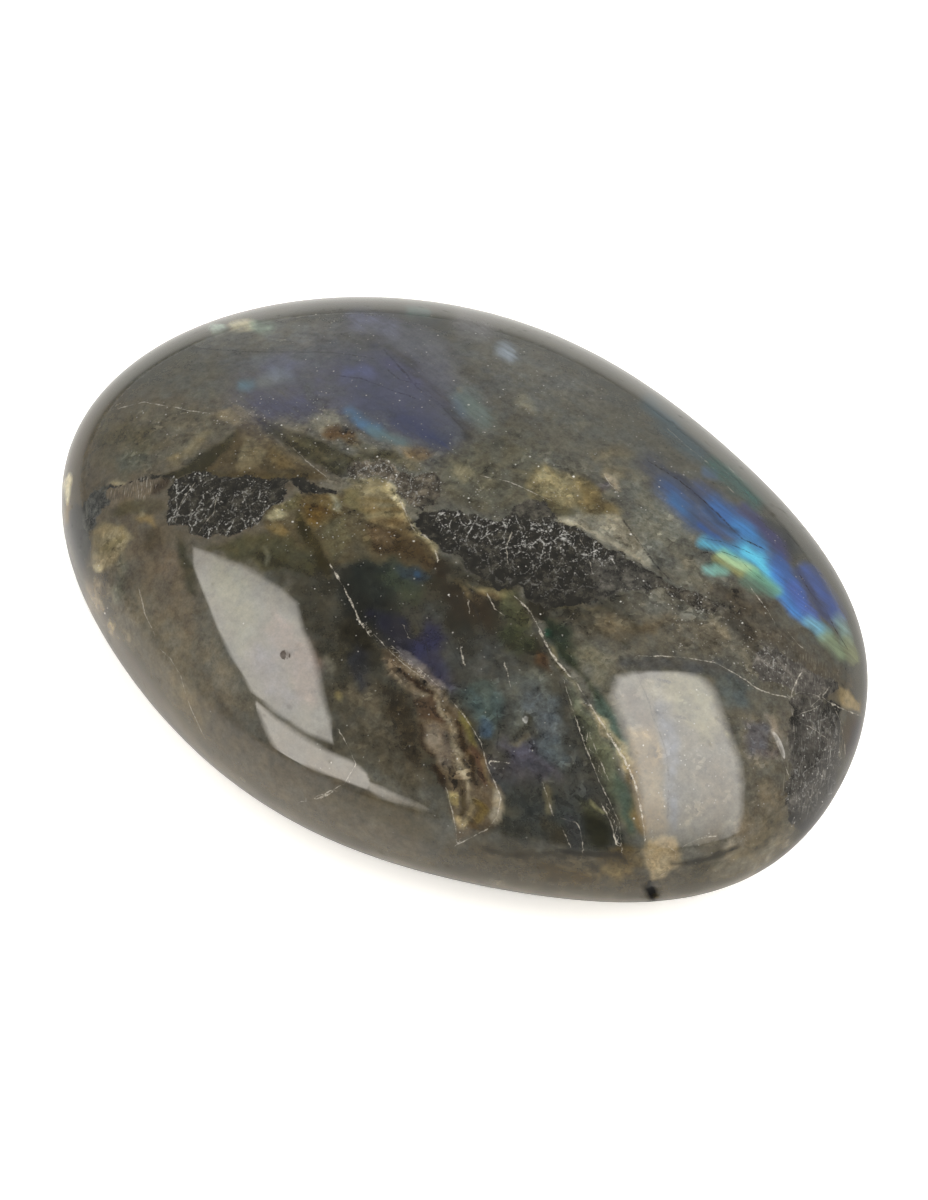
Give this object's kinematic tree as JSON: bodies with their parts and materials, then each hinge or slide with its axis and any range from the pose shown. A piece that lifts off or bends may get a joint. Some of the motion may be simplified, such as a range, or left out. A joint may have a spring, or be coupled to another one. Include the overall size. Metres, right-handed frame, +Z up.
{
  "type": "polished labradorite palm stone",
  "caption": "Smooth oval labradorite stone, polished all round, grey-olive with blue flashes and a dark vein; lies on a worn flat underside, to hold or display.",
  "frame": {"origin": "on the resting plane, under the middle of the stone's box", "axes": "+X along the stone's length, +Y across its width, +Z up from the flat underside to the crown"},
  "size_m": [0.0738, 0.052, 0.024],
  "materials": {
    "labradorite": "polished"
  },
  "bodies": {
    "root": {"stone": "labradorite"}
  },
  "joints": []
}
